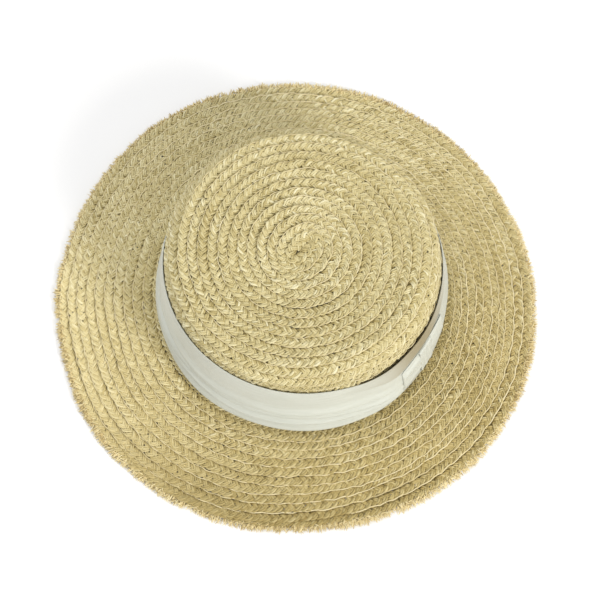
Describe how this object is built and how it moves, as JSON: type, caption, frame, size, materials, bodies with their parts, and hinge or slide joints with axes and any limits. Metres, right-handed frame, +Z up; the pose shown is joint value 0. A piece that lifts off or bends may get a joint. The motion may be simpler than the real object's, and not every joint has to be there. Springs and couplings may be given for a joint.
{
  "type": "straw sun hat",
  "caption": "Round sun hat of sewn plaited straw with a flat-topped crown, a frayed wide brim, a lift-off pale ribbon with a flat side bow, and a sweatband inside.",
  "frame": {"origin": "centre of the brim, on the plane that the hat rests on", "axes": "+Z up through the crown, +X towards the wearer's back, -Y towards the wearer's left, where the bow is"},
  "size_m": [0.325, 0.325, 0.0928],
  "materials": {
    "straw": "plaited natural straw",
    "frayed_straw": "frayed natural straw",
    "thread": "twisted cotton thread",
    "sweatband": "woven cotton tape",
    "label": "smooth woven tape, blank",
    "ribbon": "satin"
  },
  "bodies": {
    "straw_hat": {"tip_coil": "straw", "tip_braid": "straw", "shoulder_braid": "straw", "side_braid": "straw", "brim_inner_braid": "straw", "brim_outer_braid": "straw", "edge_braid": "straw", "edge_fringe": "frayed_straw", "braid_end": "frayed_straw", "tip_thread": "thread", "side_thread": "thread", "brim_thread": "thread", "sweatband": "sweatband", "sweatband_join": "sweatband", "sweatband_stitching": "thread", "label_stitches": "thread"},
    "ribbon": {"band_ribbon": "ribbon", "band_lap": "ribbon", "bow_loop": "ribbon", "bow_wrap": "ribbon", "bow_stitches": "thread"},
    "label": {"care_label": "label"}
  },
  "joints": [
    {"name": "ribbon_lift", "type": "slide", "parent": "straw_hat", "child": "ribbon", "axis": [0, 0, 1], "range_m": [0, 0.08]},
    {"name": "label_flip", "type": "hinge", "parent": "straw_hat", "child": "label", "pos_m": [0.0896, 0.0015, 0.0411], "axis": [0, 1, 0], "range_deg": [0, 85]}
  ]
}
